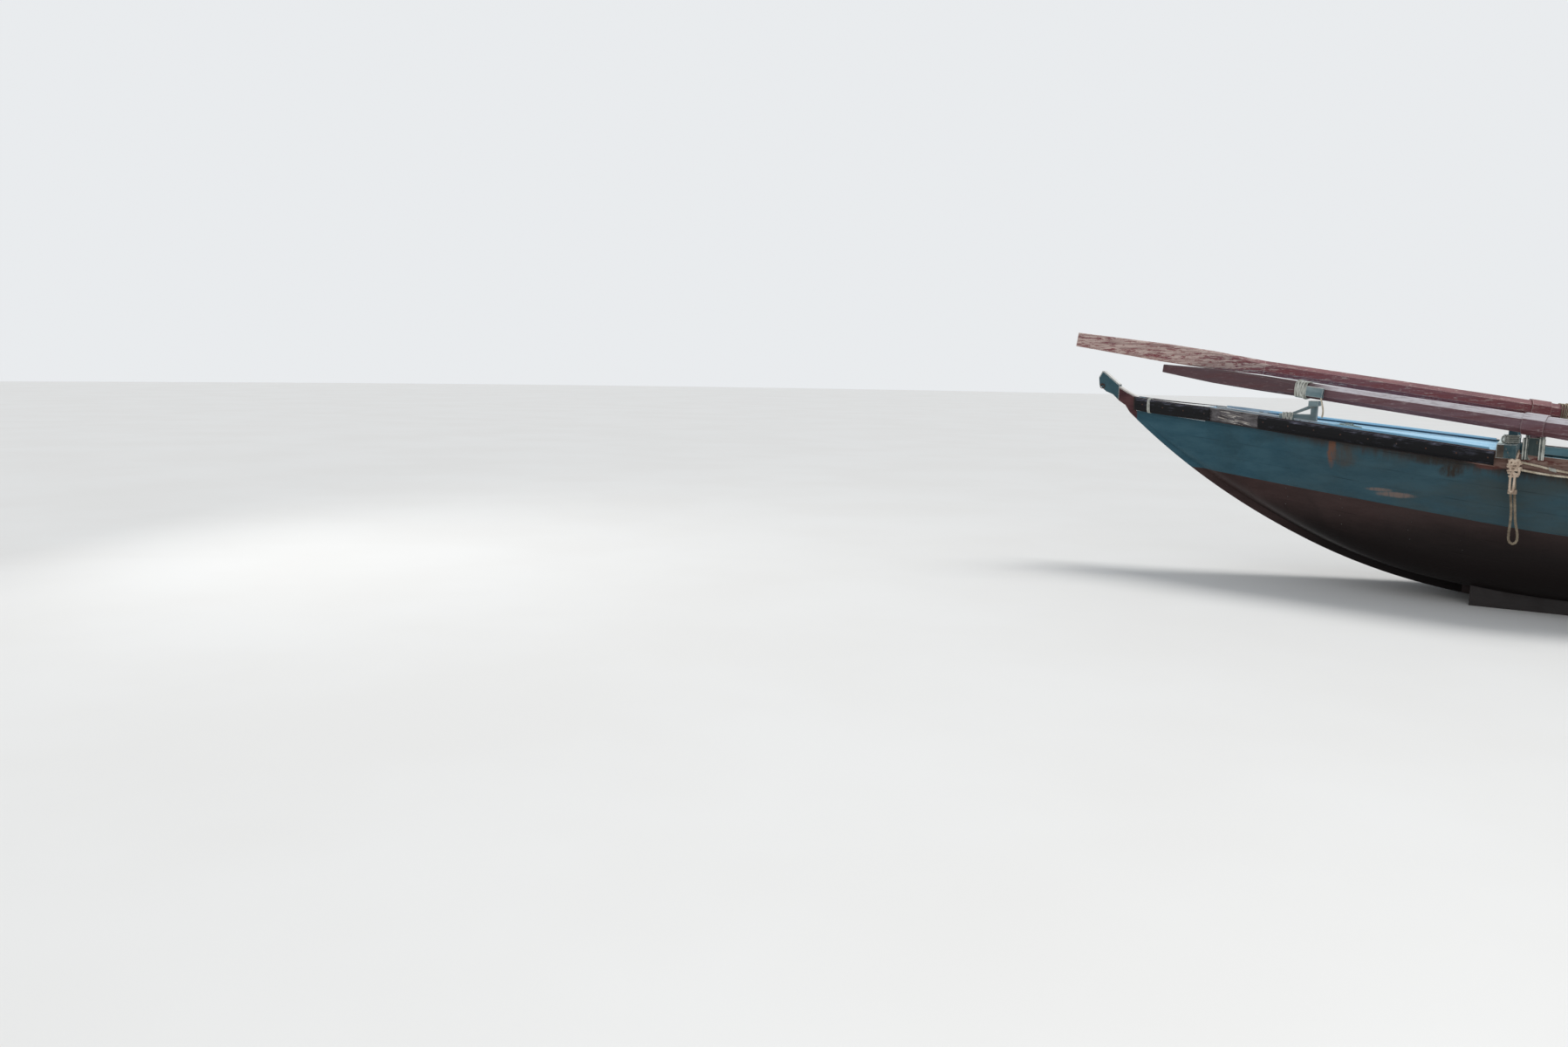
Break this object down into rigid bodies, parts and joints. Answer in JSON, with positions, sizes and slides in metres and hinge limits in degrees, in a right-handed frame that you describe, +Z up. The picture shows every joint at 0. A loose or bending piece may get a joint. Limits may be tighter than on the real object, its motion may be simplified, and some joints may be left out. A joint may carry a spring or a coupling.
{
  "type": "wooden rowing boat",
  "caption": "Carvel-planked open wooden rowing boat with a plank foredeck, raked stem, rubber-stripped gunwales and two long squared oars turning on thole pins.",
  "frame": {"origin": "on the keel's flat underside, amidships on the centreline", "axes": "+X towards the bow, +Y to port, +Z up"},
  "size_m": [6.2874, 1.8078, 1.6955],
  "materials": {
    "teal_paint": "worn teal brushed paint on wood",
    "red_paint": "faded red-brown bottom paint on wood",
    "maroon_paint": "dark maroon paint on wood, worn",
    "bare_rail": "bare weathered red-brown wood",
    "deck_blue": "bright blue brushed paint on wood",
    "inside_teal": "pale teal brushed paint on wood",
    "oar_paint": "maroon paint peeling off pale wood",
    "black_rubber": "scuffed black rubber",
    "cream_rope": "laid cream rope",
    "iron": "dark rusty iron"
  },
  "bodies": {
    "hull": {"aft_hitch": "cream_rope", "after_thwart": "inside_teal", "bow_block": "teal_paint", "crossbeam": "teal_paint", "deck_line_heap": "cream_rope", "floor_timbers": "inside_teal", "floorboards": "inside_teal", "foredeck_beams": "inside_teal", "foredeck_planks": "deck_blue", "gunwale_knot": "cream_rope", "hanging_bight": "cream_rope", "keel": "maroon_paint", "lower_strand": "cream_rope", "mooring_ring": "iron", "oar_crutch": "teal_paint", "port_bilge_runner": "red_paint", "port_bottom_planking": "red_paint", "port_gunwale_rail": "bare_rail", "port_inwale": "inside_teal", "port_oar_pad": "teal_paint", "port_pad_lashing": "cream_rope", "port_ribs": "inside_teal", "port_riser": "inside_teal", "port_rubbing_strips": "black_rubber", "port_stringer": "inside_teal", "port_thole_pin": "iron", "port_thole_post": "teal_paint", "port_toe_rail": "deck_blue", "port_topside_planking": "teal_paint", "rowing_thwart": "inside_teal", "starboard_bilge_runner": "red_paint", "starboard_bottom_planking": "red_paint", "starboard_gunwale_rail": "bare_rail", "starboard_inwale": "inside_teal", "starboard_oar_pad": "teal_paint", "starboard_pad_lashing": "cream_rope", "starboard_ribs": "inside_teal", "starboard_riser": "inside_teal", "starboard_rubbing_strips": "black_rubber", "starboard_stringer": "inside_teal", "starboard_thole_pin": "iron", "starboard_thole_post": "teal_paint", "starboard_toe_rail": "deck_blue", "starboard_topside_planking": "teal_paint", "stem_horn": "teal_paint", "stem_post": "maroon_paint", "stern_bench": "inside_teal", "transom": "teal_paint", "upper_strand": "cream_rope"},
    "port_oar": {"port_oar_loom": "oar_paint", "port_oar_blade": "oar_paint", "port_oar_collar": "oar_paint", "port_oar_lashing": "cream_rope", "port_oar_chock": "teal_paint", "chock_lanyard": "cream_rope"},
    "starboard_oar": {"starboard_oar_loom": "oar_paint", "starboard_oar_blade": "oar_paint", "starboard_oar_collar": "oar_paint", "starboard_oar_lashing": "cream_rope"}
  },
  "joints": [
    {"name": "port_oar_sweep", "type": "hinge", "parent": "hull", "child": "port_oar", "pos_m": [0.272, 0.69, 1.1], "axis": [0, 0, 1], "range_deg": [0, 105]},
    {"name": "starboard_oar_sweep", "type": "hinge", "parent": "hull", "child": "starboard_oar", "pos_m": [0.272, -0.69, 1.15], "axis": [0, 0, -1], "range_deg": [0, 105]}
  ]
}
